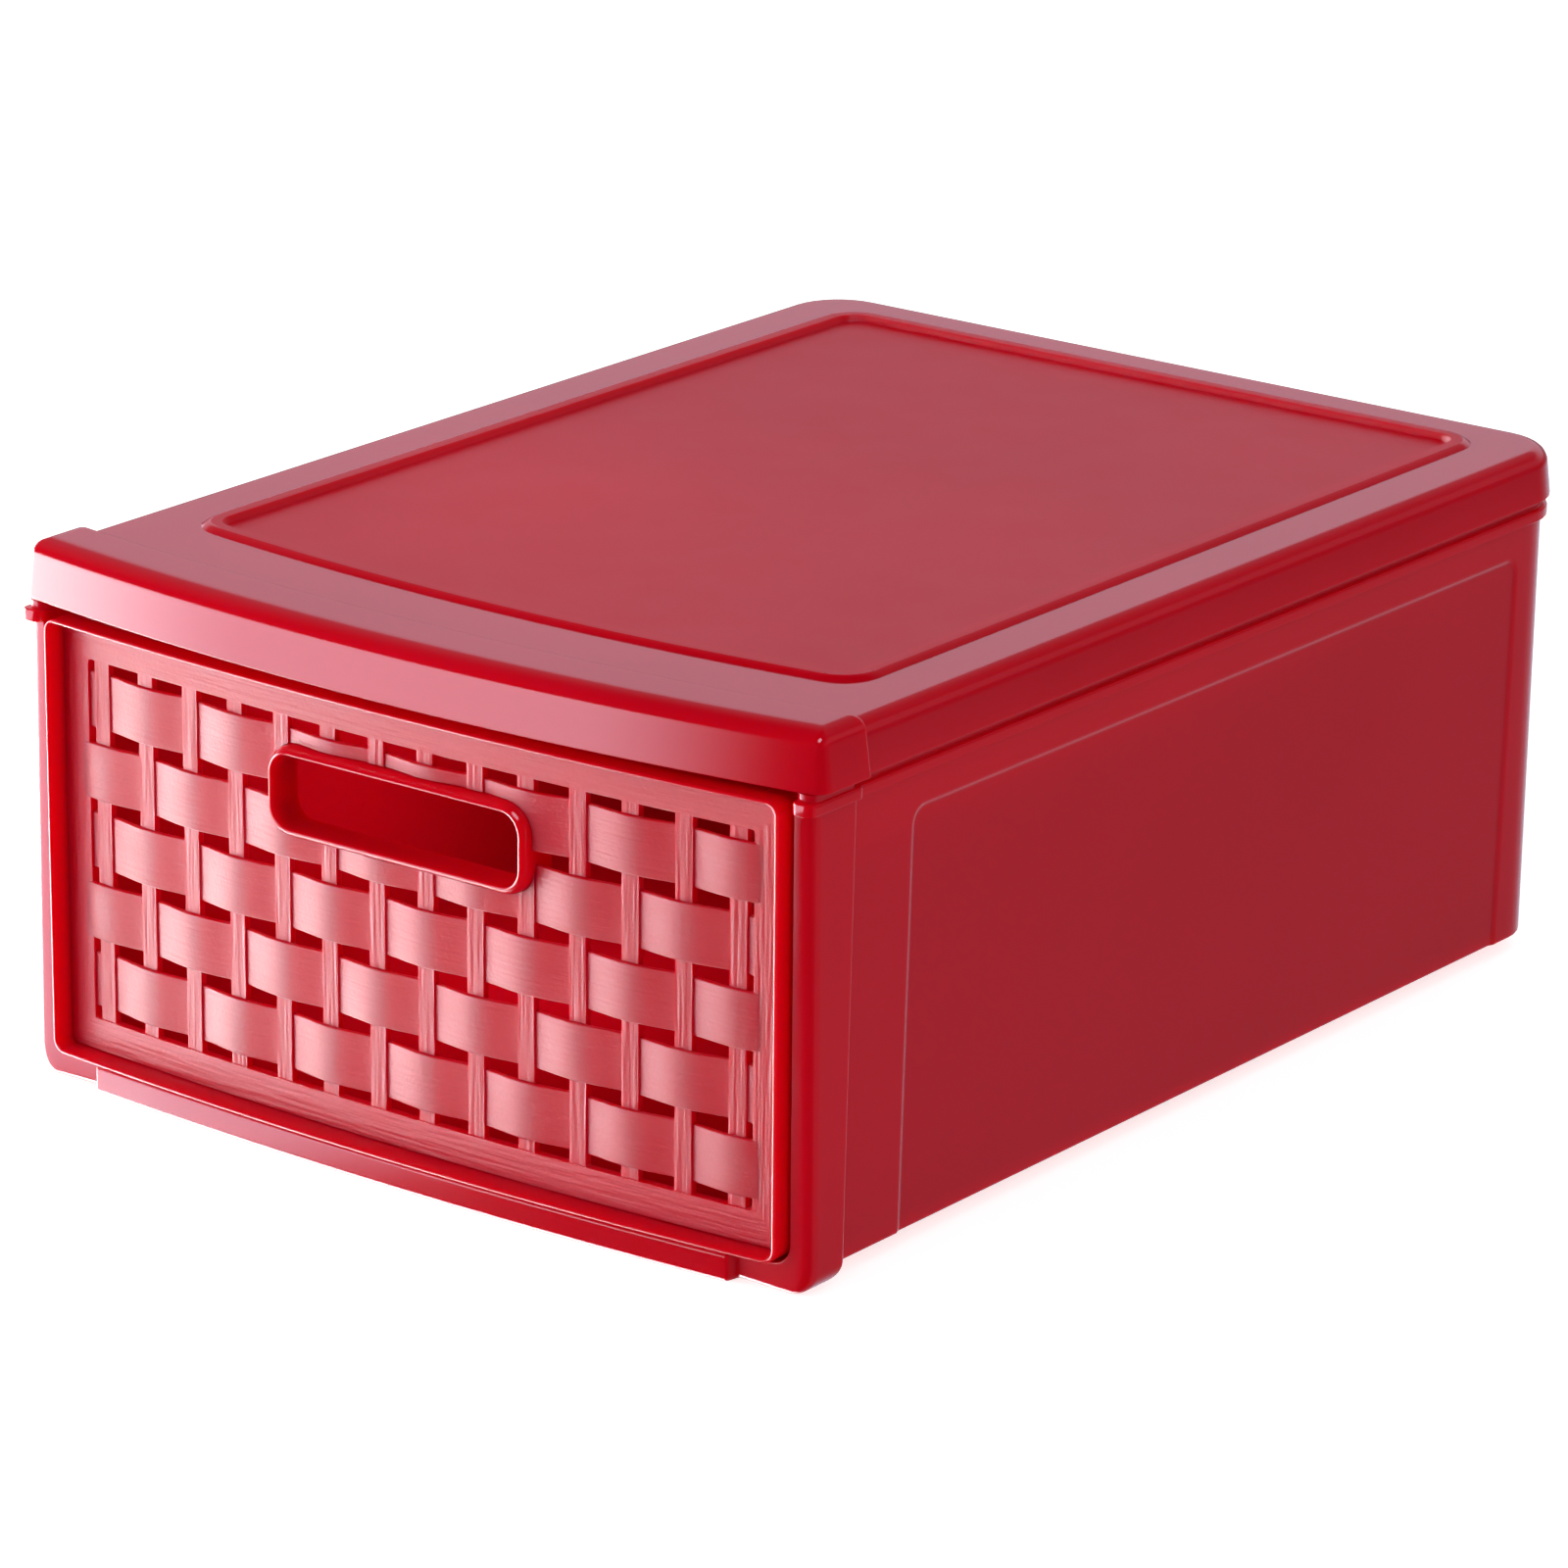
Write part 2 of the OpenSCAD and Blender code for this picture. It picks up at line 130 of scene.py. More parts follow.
# Casing
post_y = front_y + 11
wall_half = body_half - 2.1
wall_back = back_y - 2.1
wall_t = 2.2
wall_z = 4.5
wall_lean = 1.6
wall_back_r = 18.5
wall_front = post_y + 5
wall_front_r = 4
bead_top = skirt_z - 2.4
bead_z = bead_top - 3.4
bead_out = 1.8
bead_step = 0.06
bead_ends = 2.2
bead_corner_r = 2.6
# Insets and drops of the bead's rounded top edge
bead_edge = ((0, 0.8), (0.25, 0.22), (0.8, 0))
shoulder_sink = 0.3
shoulder_gap = 0.3
floor_z = 8
foot_h = 5.8
foot_inset = 12
foot_w = 10
foot_inner_r = 4
foot_edge = 0.6
inside_past = 30
underside_front = post_y + 12
underside_r = 1
field_depth = 0.7
field_bevel = 1.8
field_front = front_y + 55.5
field_back = back_y - 27.5
field_top = skirt_z - 15
field_corner_r = 6
field_slant = 1.3
# Sample places: out of, into and beyond the edge of the sunk field, and ahead of it
field_out = 3
field_in = 9
field_next = 16
field_lead = front_y + np.array([24.5, 39.5, 49.5])

# Front frame of the casing
post_half = wall_half + 1.9
post_w = 6.5
post_d_top = 19.4
post_d_foot = 15.3
post_round = 4.2
post_foot_round = 1.6
post_inner_round = 0.5
post_back_round = 1.2
post_foot_r = 6
post_foot_z = 0.5
opening_half = post_half - post_w
opening_r = 6.5
frame_lap = 1.5
lip_half = 113.8
lip_blend = 1.2
lip_y = front_y + 3.5
lip_bow_r = 1500
lip_round = 1.3
lip_inner_round = 1.2
lip_plain_half = 96

# Drawer
rim_z = floor_z + 0.7
rim_t = 1.6
rim_corner_r = 4
rim_bow_r = 1340
rim_bow_half = rim_half - 11.2
panel_y = rim_y + 7.1
panel_bow_r = 1510
tub_half = rim_half - 2.2
tub_top = rim_top - 18
tub_wall = 2
tub_lean = 1.5
tub_back_r = 12
tub_front_r = 8
tub_fillet = 3
tub_foot_round = 1.6
ledge = 3.4
ledge_side = 1
ledge_t = 2
seat_gap = 0.2
mouth_clear = 0.2
mouth_ahead = 1
mouth_past = 6

# Woven panel
border_t = 2.5
border_round = 0.25
weave_half = plate_half - 9.8
weave_z = plate_z + 9.4
weave_top = plate_top - 9.4
rib_count = 14
rib_w = 5.5
rib_edge_gap = 2.4
rib_sink = 0.35
recess_ahead = 2
recess_clear = 0.01
band_count = 5
weave_h = 16.6
weave_t = 1.5
weave_round = 0.55
weave_steps = 12
weave_ahead = 0.6
weave_behind = 1.0
weave_edge_gap = 3.4
weave_end = 4
slot_r = 0.3
opening_corner_r = 1.15
rib_pitch = (2 * weave_half - 2 * rib_edge_gap - rib_w) / (rib_count - 1)
row_pitch = (weave_top - weave_z - 2 * weave_edge_gap - weave_h) / (band_count - 1)

# Grip
grip_corner_r = 8.5
grip_clear = 0.2
grip_cut_ahead = 9
grip_cut_behind = 12


def bow(x, r):
    """How far a bowed face of radius r lies back at x from its middle."""
    return r - np.sqrt(r * r - np.square(x))


def smooth(t):
    """Smooth step from 0 to 1."""
    t = np.clip(t, 0, 1)
    return t * t * (3 - 2 * t)


def arc(cx, cy, r, start, end, steps):
    """Points of an arc and their outward normals, with angles in degrees."""
    a = np.radians(np.linspace(start, end, steps + 1))
    n = np.stack([np.cos(a), np.sin(a)], 1)
    return np.array([cx, cy]) + r * n, n


def run(xs, ys, normal):
    """Points along a straight side, with their common normal."""
    p = np.stack(np.broadcast_arrays(np.asarray(xs, float), np.asarray(ys, float)), 1)
    return p, np.tile(np.asarray(normal, float), (len(p), 1))


def joined(parts):
    """Outline pieces put together as one loop of points and normals."""
    return np.concatenate([p for p, n in parts]), np.concatenate([n for p, n in parts])


def bowed_front(half, front, bow_r, corner_r, front_steps, steps):
    """Bowed front of a plan and its two corners, from left to right."""
    x = half - corner_r
    y = front + bow_r - math.sqrt((bow_r - corner_r) ** 2 - x * x)
    turn = math.degrees(math.asin(x / (bow_r - corner_r)))
    bowed, bowed_n = arc(0, front + bow_r, bow_r, 270 - turn, 270 + turn, front_steps)
    return joined([
        arc(-x, y, corner_r, 180, 270 - turn, steps),
        (bowed[1:-1], bowed_n[1:-1]),
        arc(x, y, corner_r, 270 + turn, 360, steps),
    ])


def plan_outline(half, front, back, bow_r, front_r, back_r, side_y=(), front_steps=40, steps=8):
    """Plan of a piece with a bowed front: points and outward normals, anticlockwise."""
    side_y = np.asarray(side_y, float)
    return joined([
        arc(half - back_r, back - back_r, back_r, 0, 90, steps),
        arc(back_r - half, back - back_r, back_r, 90, 180, steps),
        run(-half, side_y[::-1], (-1, 0)),
        bowed_front(half, front, bow_r, front_r, front_steps, steps),
        run(half, side_y, (1, 0)),
    ])


def box_outline(x0, x1, y0, y1, r, along_x=(), steps=6):
    """Rounded rectangle as points and outward normals, anticlockwise."""
    xs = np.asarray(along_x, float)
    return joined([
        arc(x1 - r, y1 - r, r, 0, 90, steps),
        run(xs[::-1], y1, (0, 1)),
        arc(x0 + r, y1 - r, r, 90, 180, steps),
        arc(x0 + r, y0 + r, r, 180, 270, steps),
        run(xs, y0, (0, -1)),
        arc(x1 - r, y0 + r, r, 270, 360, steps),
    ])


def level(outline, inset, z):
    """A horizontal loop: the outline moved inwards, at height z."""
    p, n = outline
    inset = np.broadcast_to(np.asarray(inset, float), len(p))
    flat = p - n * inset[:, None]
    return np.column_stack([flat, np.broadcast_to(z, len(p))])


def upright(outline, inset, y):
    """A loop in the front view, moved inwards, at depth y(x)."""
    p, n = outline
    flat = p - n * inset
    return np.column_stack([flat[:, 0], np.broadcast_to(y(flat[:, 0]), len(p)), flat[:, 1]])


def quarter(r, steps=5):
    """Insets and drops of a rounded edge, from the wall to the top face."""
    a = np.linspace(0, math.pi / 2, steps + 1)
    return r * (1 - np.cos(a)), r * (1 - np.sin(a))


def loft(loops, ring=False):
    """Quads between loops of equal length, with end caps unless the loops close on themselves."""
    count = len(loops[0])
    faces = []
    for k in range(len(loops) if ring else len(loops) - 1):
        a = k * count
        b = (k + 1) % len(loops) * count
        for i in range(count):
            j = (i + 1) % count
            faces.append((a + i, a + j, b + j, b + i))
    if not ring:
        faces.append(tuple(range(count))[::-1])
        faces.append(tuple(range((len(loops) - 1) * count, len(loops) * count)))
    return np.concatenate(loops), faces


def solid(name, *shells):
    """A mesh object made of closed shells given in millimetres."""
    bm = bmesh.new()
    for points, faces in shells:
        verts = [bm.verts.new(Vector(p) * MM) for p in points]
        for f in faces:
            bm.faces.new([verts[i] for i in f])
    bmesh.ops.remove_doubles(bm, verts=bm.verts, dist=0.002 * MM)
    bmesh.ops.recalc_face_normals(bm, faces=bm.faces)
    mesh = bpy.data.meshes.new(name)
    bm.to_mesh(mesh)
    bm.free()
    obj = bpy.data.objects.new(name, mesh)
    bpy.context.scene.collection.objects.link(obj)
    return obj


def combine(target, tool, operation):
    """Exact boolean of two objects, kept in target. The tool is used up."""
    modifier = target.modifiers.new("combine", "BOOLEAN")
    modifier.operation = operation
    modifier.solver = "EXACT"
    modifier.object = tool
    graph = bpy.context.evaluated_depsgraph_get()
    mesh = bpy.data.meshes.new_from_object(target.evaluated_get(graph))
    target.modifiers.clear()
    target.data = mesh
    bpy.data.objects.remove(tool)
    return target


def union(target, tool):
    return combine(target, tool, "UNION")


def cut(target, tool):
    return combine(target, tool, "DIFFERENCE")


def place(obj, materials, body, nodes=(), crease=32):
    """Smooth shading, materials and the frame's book-keeping for a finished piece."""
    mesh = obj.data
    bm = bmesh.new()
    bm.from_mesh(mesh)
    bmesh.ops.remove_doubles(bm, verts=bm.verts, dist=0.002 * MM)
    bmesh.ops.dissolve_degenerate(bm, edges=bm.edges, dist=0.002 * MM)
    bm.to_mesh(mesh)
    bm.free()
    mesh.shade_smooth()
    mesh.set_sharp_from_angle(angle=math.radians(crease))
    normals = obj.modifiers.new("even_normals", "WEIGHTED_NORMAL")
    normals.keep_sharp = True
    mesh.materials.clear()
    for m in materials:
        mesh.materials.append(m)
    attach(obj, body)
    if nodes:
        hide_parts(*nodes)
    return obj


# Lid


def ring_profile():
    """Insets and rises across the ridge ring, from the flange to the sunk panel."""
    t = np.linspace(0, 1, 9)
    outer = [(ridge_outer * a, ridge_rise * (1 - (1 - a) ** 1.6)) for a in t]
    drop = ridge_rise + panel_drop
    start = ridge_outer + ridge_crest
    inner = [(start + ridge_inner * a, ridge_rise - drop * smooth(a)) for a in t]
    return outer + inner + [(start + ridge_inner + panel_lead, -panel_drop)]


def lid_body():
    """Skirt, flange, ridge ring and sunk panel as one closed loft."""
    outline = plan_outline(body_half + body_flare, body_front, back_y, flat_bow_r, body_front_r,
                           lid_back_r)
    ring = plan_outline(ridge_half, ridge_front, ridge_back, ridge_bow_r, ridge_corner_r,
                        ridge_corner_r)
    loops = [level(outline, i, skirt_z + h) for i, h in lid_foot_edge]
    for inset, drop in zip(*quarter(lid_round, 9)):
        loops.append(level(outline, inset + body_draft, flange_z - drop))
    for inset, rise in ring_profile():
        loops.append(level(ring, inset, flange_z + rise))
    return loft(loops)


def lid_band():
    """Front band with leaning faces, a wide top edge and a bowed back with a fine round."""
    corner, _ = arc(0, -band_edge, band_edge, 0, 90, 8)

    def loop(side_in, front_in, back_in, z):
        half = band_half - side_in
        corner_r = max(band_corner_r - (side_in + front_in) / 2, band_least_r)
        front, _ = bowed_front(half, front_y + front_in, band_bow_r - front_in, corner_r, 64, 12)
        xs = np.linspace(half - band_edge, band_edge - half, 65)
        back = np.column_stack([xs, band_back + bow(xs, band_back_bow_r) - back_in])
        right = back[0] + corner
        left = (right * [-1, 1])[::-1]
        plan = np.concatenate([front, right[:-1], back, left[1:]])
        return np.column_stack([plan, np.full(len(plan), z)])

    loops = [loop(i, i, i, skirt_z + h) for i, h in lid_foot_edge]
    for inset, drop in zip(*quarter(1, 12)):
        side_in = band_draft + inset * band_side_round
        front_in = band_draft + inset * band_front_round
        below = drop * band_round_h
        left_over = max(band_edge - below, 0)
        back_in = band_edge - math.sqrt(band_edge ** 2 - left_over ** 2)
        loops.append(loop(side_in, front_in, back_in, top_z - below))
    loops.append(loop(*(i + band_flat_in for i in (side_in, front_in, back_in)), top_z))
    return loft(loops)


def lid_hollows():
    """The two hollows under the lid: the body's and the band's."""
    body = plan_outline(body_half - lid_wall, lid_hollow_front, back_y - lid_wall, flat_bow_r,
                        lid_hollow_r, lid_back_r - lid_wall)
    inset = band_draft + lid_wall
    end = band_back + bow(band_half, band_back_bow_r) - 2 * lid_wall
    band = plan_outline(band_half - inset, front_y + inset, end, band_bow_r - inset,
                        band_corner_r - inset, band_hollow_r, front_steps=64)
    low_z = skirt_z - cut_past
    slope = [(0, low_z)] + [(i, ceiling_z - drop) for i, drop in neck_taper]
    return [
        loft([level(body, i, z) for i, z in slope]),
        loft([level(band, 0, low_z), level(band, 0, ceiling_z)])]


def in_panel(point):
    """Whether a point of the lid's top lies inside the outer slope of the ridge ring."""
    x, y, z = point
    r = ridge_corner_r
    qx = abs(x) - ridge_half + r
    qy = max(ridge_front + bow(x, ridge_bow_r) + r - y, y - ridge_back + r)
    inside = r - math.hypot(max(qx, 0), max(qy, 0)) - min(max(qx, qy), 0)
    return inside > ridge_outer - 0.3 and z > ceiling_z + 0.5


def build_lid(gloss, satin):
    lid = solid("lid_shell", lid_body())
    union(lid, solid("band", lid_band()))
    for hollow in lid_hollows():
        cut(lid, solid("hollow", hollow))
    place(lid, [gloss, satin], "lid", ["lid"])
    for face in lid.data.polygons:
        if face.normal.z > 0.1 and in_panel(np.array(face.center) / MM):
            face.material_index = 1


# Casing


def dense(edge, inside, outside, step=0.6):
    """Sample places close together round the edge of the sunk field."""
    low, high = sorted((edge + inside, edge + outside))
    return np.linspace(low, high, int(round((high - low) / step)) + 1)


def field_sink(y, z):
    """Depth of the sunk field at a place on a side wall."""
    r = field_corner_r
    slant = field_slant * (2 * z / field_top - 1)
    mid_y = (field_front + field_back) / 2 + slant
    half_y = (field_back - field_front) / 2 - r
    qy = np.abs(y - mid_y) - half_y
    qz = z - (field_top - r)
    outside = np.hypot(np.maximum(qy, 0), np.maximum(qz, 0))
    distance = outside + np.minimum(np.maximum(qy, qz), 0) - r
    return field_depth * smooth(-distance / field_bevel)


def casing_walls():
    """Solid block of the casing, with leaning sides, sunk fields, rim bead and neck."""
    side_y = np.concatenate([
        field_lead,
        dense(field_front, -field_out, field_in),
        np.linspace(field_front + field_next, field_back - field_next, 18),
        dense(field_back, -field_in, field_out)])
    outline = plan_outline(wall_half, wall_front, wall_back, flat_bow_r, wall_front_r, wall_back_r,
                           side_y=side_y)
    on_side = np.abs(outline[1][:, 0]) > 0.999
    y = outline[0][:, 1]

    def wall(z, extra=0.0):
        lean = wall_lean * (bead_top - z) / (bead_top - wall_z)
        return level(outline, lean + extra + np.where(on_side, field_sink(y, z), 0), z)

    loops = []
    for inset, drop in reversed(list(zip(*quarter(1.0, 4)))):
        loops.append(wall(wall_z + drop, inset))
    for z in np.linspace(14, field_top - field_next, 8):
        loops.append(wall(z))
    for z in dense(field_top, -field_in, field_out):
        loops.append(wall(z))
    profile = [(0, bead_z), (0.1 - bead_out, bead_z), (-bead_out, bead_z + 0.1)]
    profile += [(i - bead_out, bead_top - drop) for i, drop in bead_edge]
    profile += [(0, bead_top)] + [(i, neck_z - drop) for i, drop in neck_taper]
    for inset, z in profile:
        loops.append(level(outline, inset, z))
    return loft(loops)


def casing_hollow():
    """Space inside the casing, open at the front and the top."""
    outline = plan_outline(wall_half - wall_t, post_y - inside_past, wall_back - wall_t, flat_bow_r,
                           wall_front_r, wall_back_r - wall_t)
    return loft([
        level(outline, wall_lean, floor_z),
        level(outline, 0, bead_top),
        level(outline, 0, neck_z + cut_past)])


def casing_underside():
    """Shallow space under the floor, inside the walls."""
    inset = wall_t + wall_lean
    outline = plan_outline(wall_half - inset, underside_front, wall_back - inset, flat_bow_r,
                           underside_r, wall_back_r - wall_t)
    return loft([level(outline, 0, -cut_past), level(outline, 0, foot_h)])


def post_back(z):
    """Back of the front frame at height z, with its rounded lower corner."""
    rise = (z - post_foot_z) / (bead_top - post_foot_z)
    plain = post_y + post_d_foot + (post_d_top - post_d_foot) * rise
    below = np.clip(post_foot_z + post_foot_r - z, 0, post_foot_r)
    return plain - post_foot_r + math.sqrt(post_foot_r ** 2 - below ** 2)


def frame_section(outer, inner, front, outer_r, inner_r, steps=6):
    """Cross-section of the front frame between an outer and an inner point of the front view."""
    outer = np.asarray(outer, float)
    inner = np.asarray(inner, float)
    width = np.linalg.norm(inner - outer)
    step = (inner - outer) / width
    bend_o, _ = arc(outer_r, front + outer_r, outer_r, 180, 270, steps)
    bend_i, _ = arc(width - inner_r, front + inner_r, inner_r, 270, 360, steps)
    back_r = post_back_round
    bend_b, _ = arc(back_r, post_back(outer[1]) - back_r, back_r, 90, 180, steps)
    profile = np.concatenate([bend_b, bend_o, bend_i, [[width, post_back(inner[1])]]])
    return np.array([
        [outer[0] + s * step[0], y, outer[1] + s * step[1]] for s, y in profile])


def front_frame():
    """Posts and sill swept round the drawer's opening, with the lip as a bowed swell of the sill."""
    top = bead_z + frame_lap
    steps = 9
    outer_bend, _ = arc(post_foot_r - post_half, post_foot_z + post_foot_r, post_foot_r,
                        180, 270, steps)
    inner_bend, _ = arc(opening_r - opening_half, floor_z + opening_r, opening_r, 180, 270, steps)
    left = [((-post_half, top), (-opening_half, top))] + list(zip(outer_bend, inner_bend))
    end = lip_half + lip_blend
    ends = np.linspace(end + 0.4, lip_half - lip_blend - 0.4, 15)
    xs = np.concatenate([-ends, np.linspace(-lip_plain_half, lip_plain_half, 25), ends[::-1]])
    turn = smooth(np.concatenate([[0], np.linspace(0, 1, len(left) - 1)]))
    rounds = post_round + (post_foot_round - post_round) * turn
    sections = [frame_section(o, i, post_y, r, post_inner_round) for (o, i), r in zip(left, rounds)]
    for x in xs:
        swell = smooth((end - abs(x)) / (2 * lip_blend))
        front = post_y + swell * (lip_y + bow(x, lip_bow_r) - post_y)
        foot = post_foot_z * (1 - swell)
        outer_r = post_foot_round + swell * (lip_round - post_foot_round)
        inner_r = post_inner_round + swell * (lip_inner_round - post_inner_round)
        sections.append(frame_section((x, foot), (x, floor_z), front, outer_r, inner_r))
    for (o, i), r in zip(reversed(left), rounds[::-1]):
        mirrored = frame_section((-o[0], o[1]), (-i[0], i[1]), post_y, r, post_inner_round)
        sections.append(mirrored)
    return loft(sections)


def post_bead(side):
    """Wider end of the rim bead, over one post."""
    x0, x1 = sorted((side * opening_half, side * bead_post_half))
    outline = box_outline(x0, x1, post_y - bead_ends, post_y + post_d_top + bead_ends, bead_corner_r)
    low_z = bead_z - bead_step
    profile = [(0.5, low_z), (0.15, low_z + 0.15), (0, low_z + 0.5)]
    profile += [(i, bead_top + bead_step - drop) for i, drop in bead_edge]
    return loft([level(outline, inset, z) for inset, z in profile])


def shoulder(side):
    """Low block on the bead, just under a front corner of the lid."""
    x0, x1 = sorted((side * opening_half, side * post_half))
    outline = box_outline(x0, x1, post_y, post_y + post_d_top, bead_corner_r)
    return loft([level(outline, 0, bead_top - shoulder_sink), level(outline, 0, skirt_z - shoulder_gap)])


def foot_ring():
    """Ring under the floor that the box stands on."""
    half = wall_half - wall_lean - foot_inset
    y0 = post_y + post_d_foot / 2
    y1 = wall_back - wall_lean - foot_inset
    outer = box_outline(-half, half, y0, y1, wall_back_r)
    inner = box_outline(foot_w - half, half - foot_w, y0 + foot_w, y1 - foot_w, foot_inner_r)
    e = foot_edge
    return loft([
        level(outer, 0, foot_h + e), level(outer, 0, e), level(outer, e, 0),
        level(inner, -e, 0), level(inner, 0, e), level(inner, 0, foot_h + e)], ring=True)


def build_casing(gloss):
    casing = solid("casing_shell", casing_walls())
    cut(casing, solid("inside", casing_hollow()))
    cut(casing, solid("underside", casing_underside()))
    union(casing, solid("frame", front_frame()))
    for side in (-1, 1):
        union(casing, solid("bead", post_bead(side)))
        union(casing, solid("shoulder", shoulder(side)))
    union(casing, solid("foot", foot_ring()))
    place(casing, [gloss], "casing", ["casing"])


# Drawer


def tray_rim():
    """Thin rim round the drawer front, its tray and the ledge that seats the panel."""
    xs = np.linspace(-rim_bow_half, rim_bow_half, 41)
    mouth_half = tub_half - tub_wall - tub_lean - ledge_side
    outer = box_outline(-rim_half, rim_half, rim_z, rim_top, rim_corner_r, xs)
    mouth = box_outline(-mouth_half, mouth_half, rim_z + rim_t + ledge, rim_top - rim_t - ledge,
                        rim_corner_r - rim_t, xs)
    seat_y = panel_y + border_t + seat_gap
    back = seat_y + bow(plate_half, panel_bow_r) + ledge_t

    def rim(depth):
        return lambda x: rim_y + depth + bow(x, rim_bow_r)

    def seat(x):
        return seat_y + bow(x, panel_bow_r)

    edge = [(0, 1.0), (0.05, 0.45), (0.25, 0.12), (0.55, 0), (0.85, 0.12), (1.05, 0.45), (1.15, 1.2)]
    loops = [upright(outer, 0, lambda x: back)]
    loops += [upright(outer, inset, rim(depth)) for inset, depth in edge]
    loops += [
        upright(outer, rim_t, seat),
        upright(mouth, 0, seat),
        upright(mouth, 0, lambda x: back)]
    return loft(loops, ring=True), mouth_half, back


def tub_shell(front):
    """Open drawer with leaning walls, rounded floor edges and a rounded top edge."""
    outline = plan_outline(tub_half, front, tub_back, flat_bow_r, tub_front_r, tub_back_r,
                           side_y=[-60, 60])

    def wall(z, extra):
        return level(outline, extra + tub_lean * (tub_top - z) / (tub_top - tub_z), z)

    fillet, drop = quarter(tub_fillet, 5)
    loops = [wall(tub_z + tub_wall + d, tub_wall + f) for f, d in zip(fillet[::-1], drop[::-1])]
    loops += [
        wall(tub_top - 1, tub_wall), wall(tub_top - 0.3, tub_wall - 0.25), wall(tub_top, tub_wall / 2),
        wall(tub_top - 0.3, 0.25), wall(tub_top - 1, 0)]
    fillet, drop = quarter(tub_foot_round, 4)
    loops += [wall(tub_z + d, f) for f, d in zip(fillet, drop)]
    return loft(loops)


def build_drawer(gloss):
    rim, mouth_half, back = tray_rim()
    drawer = solid("drawer_tray", rim)
    union(drawer, solid("tub", tub_shell(back - ledge_t)))
    half = mouth_half - mouth_clear
    edge = rim_t + ledge + mouth_clear
    mouth = box_outline(-half, half, rim_z + edge, rim_top - edge, rim_corner_r - rim_t)
    tunnel = [upright(mouth, 0, lambda x, y=y: y) for y in (panel_y + mouth_ahead, back + mouth_past)]
    cut(drawer, solid("mouth", loft(tunnel)))
    place(drawer, [gloss], "drawer", ["drawer_tub"])


# Woven panel


def rib_x(i):
    return (i - (rib_count - 1) / 2) * rib_pitch


def slot_outline(x0, x1, left_r, right_r, steps=5):
    """An upright slot of the weave, with its own corner radius at each side."""
    return joined([
        arc(x1 - right_r, weave_top - right_r, right_r, 0, 90, steps),
        arc(x0 + left_r, weave_top - left_r, left_r, 90, 180, steps),
        arc(x0 + left_r, weave_z + left_r, left_r, 180, 270, steps),
        arc(x1 - right_r, weave_z + right_r, right_r, 270, 360, steps),
    ])


def slot_cell(x0, x1, left, right):
    """Part of the panel's plate round one upright slot, as a loft from its front to its back."""
    slot_x0 = -weave_half if left else x0 + rib_w / 2
    slot_x1 = weave_half if right else x1 - rib_w / 2
    left_r = opening_corner_r if left else slot_r
    right_r = opening_corner_r if right else slot_r
    hole = slot_outline(slot_x0, slot_x1, left_r, right_r)
    steps = len(hole[0]) // 4
    corner_r = [rim_corner_r - rim_t if near else 0 for near in (right, left, left, right)]
    corners = [(x1, plate_top), (x0, plate_top), (x0, plate_z), (x1, plate_z)]
    signs = [(-1, -1), (1, -1), (1, 1), (-1, 1)]
    cell = joined([
        arc(cx + sx * r, cz + sz * r, r, 90 * k, 90 * k + 90, steps - 1)
        for k, ((cx, cz), (sx, sz), r) in enumerate(zip(corners, signs, corner_r))])

    def face(depth):
        return lambda x: panel_y + depth + bow(x, panel_bow_r)

    loops = [upright(cell, 0, face(0))]
    for inset, drop in reversed(list(zip(*quarter(border_round, 3)))):
        loops.append(upright(hole, -inset, face(drop)))
    loops.append(upright(hole, 0, face(border_t)))
    loops.append(upright(cell, 0, face(border_t)))
    points, faces = loft(loops)
    return points, faces[:-2]


def plate_shells():
    """All the slots' cells side by side. The open rim between front and back is closed later."""
    edges = [-plate_half] + [rib_x(i) for i in range(rib_count)] + [plate_half]
    last = len(edges) - 2
    return [slot_cell(edges[k], edges[k + 1], k == 0, k == last) for k in range(last + 1)]


def weave_recess():
    """Shallow space that sets the ribs a little behind the border."""
    sections = []
    for x in np.linspace(-weave_half, weave_half, 41):
        face = panel_y + bow(x, panel_bow_r)
        y0 = face - recess_ahead
        y1 = face + rib_sink
        z0 = weave_z - recess_clear
        z1 = weave_top + recess_clear
        sections.append(np.array([[x, y0, z0], [x, y0, z1], [x, y1, z1], [x, y1, z0]]))
    return loft(sections)


def band_face(x, row):
    """Front of a band at x: forward over the ribs it covers, behind the others."""
    covered_x = (0.5 if row % 2 == 0 else -0.5) * rib_pitch
    middle = panel_y + bow(x, panel_bow_r) + (weave_behind - weave_ahead) / 2
    return middle - (weave_behind + weave_ahead) / 2 * np.cos(np.pi * (x - covered_x) / rib_pitch)


def woven_band(row):
    """One band, arched over every second rib, with rounded edges."""
    z0 = weave_z + weave_edge_gap + row * row_pitch
    section, _ = box_outline(0, weave_t, z0, z0 + weave_h, weave_round, steps=3)
    half = weave_half + weave_end
    xs = np.linspace(-half, half, weave_steps * rib_count + 1)
    return loft([
        np.column_stack([np.full(len(section), x), band_face(x, row) + section[:, 0], section[:, 1]])
        for x in xs])


def grip_tool():
    """Cutter for the grip's hole in the panel and bands."""
    clear = grip_clear
    hole = box_outline(grip_low[0] - clear, grip_high[0] + clear, grip_low[2] - clear,
                       grip_high[2] + clear, grip_corner_r + clear)
    ends = (panel_y - grip_cut_ahead, panel_y + grip_cut_behind)
    return solid("grip_hole", loft([upright(hole, 0, lambda x, y=y: y) for y in ends]))


